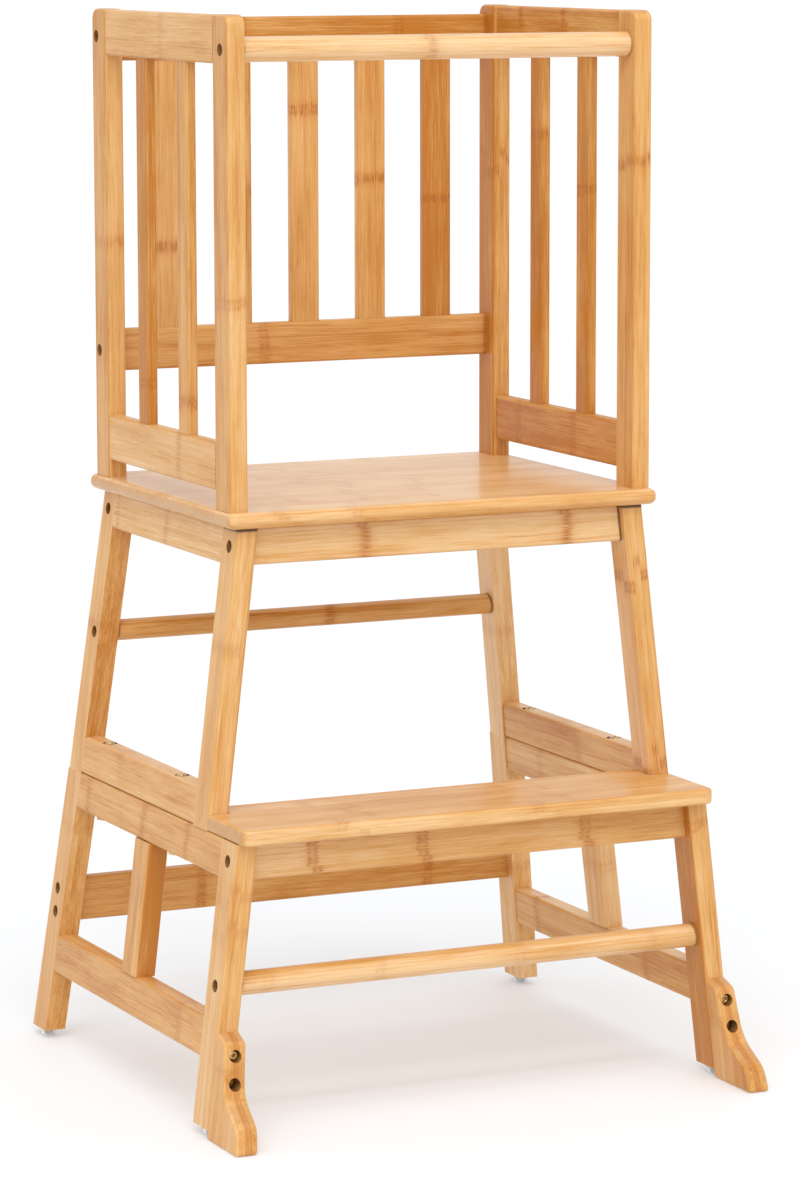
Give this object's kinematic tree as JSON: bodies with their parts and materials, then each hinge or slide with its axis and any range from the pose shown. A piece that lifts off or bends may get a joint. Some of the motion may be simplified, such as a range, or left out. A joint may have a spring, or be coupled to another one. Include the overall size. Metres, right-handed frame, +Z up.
{
  "type": "toddler kitchen helper stool",
  "caption": "Wooden helper tower for a toddler: a standing platform in a slatted cage with a safety bar, on splayed frames with a step, cross rails and anti-tip feet",
  "frame": {"origin": "on the floor under the middle of the stool's box", "axes": "+Z up; +Y to the back, where the slatted back is; the step and the safety bar face -Y; +X across, the stool is symmetric about X = 0"},
  "size_m": [0.4864, 0.4637, 0.9],
  "materials": {
    "bamboo": "clear satin lacquer over carbonised bamboo strips",
    "bolt_steel": "plated steel",
    "bronze": "bronze plated",
    "clear_plastic": "clear glossy"
  },
  "bodies": {
    "root": {"anti_tip_foot_left": "bamboo", "anti_tip_foot_right": "bamboo", "apron_front": "bamboo", "apron_left": "bamboo", "apron_rear": "bamboo", "apron_right": "bamboo", "back_lower_rail": "bamboo", "back_slat_1": "bamboo", "back_slat_2": "bamboo", "back_slat_3": "bamboo", "back_slat_4": "bamboo", "back_slat_5": "bamboo", "back_top_rail": "bamboo", "base_bolts": "bolt_steel", "base_front_apron": "bamboo", "base_leg_front_left": "bamboo", "base_leg_front_right": "bamboo", "base_leg_rear_left": "bamboo", "base_leg_rear_right": "bamboo", "base_lower_rail_left": "bamboo", "base_lower_rail_right": "bamboo", "base_rear_board": "bamboo", "base_strut_left": "bamboo", "base_strut_right": "bamboo", "base_top_rail_left": "bamboo", "base_top_rail_right": "bamboo", "board_screws": "bolt_steel", "cage_bolts": "bolt_steel", "floor_glides": "clear_plastic", "foot_bolts": "bolt_steel", "frame_bolts": "bronze", "frame_nuts": "bronze", "front_stretcher": "bamboo", "insert_nuts": "bolt_steel", "platform_board": "bamboo", "post_bolts": "bolt_steel", "post_front_left": "bamboo", "post_front_right": "bamboo", "post_rear_left": "bamboo", "post_rear_right": "bamboo", "rear_stretcher": "bamboo", "safety_bar": "bamboo", "side_bottom_rail_left": "bamboo", "side_bottom_rail_right": "bamboo", "side_slat_front_left": "bamboo", "side_slat_front_right": "bamboo", "side_slat_rear_left": "bamboo", "side_slat_rear_right": "bamboo", "side_top_rail_left": "bamboo", "side_top_rail_right": "bamboo", "step_board": "bamboo", "step_screws": "bolt_steel", "upper_frame_bolts": "bolt_steel", "upper_leg_front_left": "bamboo", "upper_leg_front_right": "bamboo", "upper_leg_rear_left": "bamboo", "upper_leg_rear_right": "bamboo", "upper_side_rail_left": "bamboo", "upper_side_rail_right": "bamboo"}
  },
  "joints": []
}
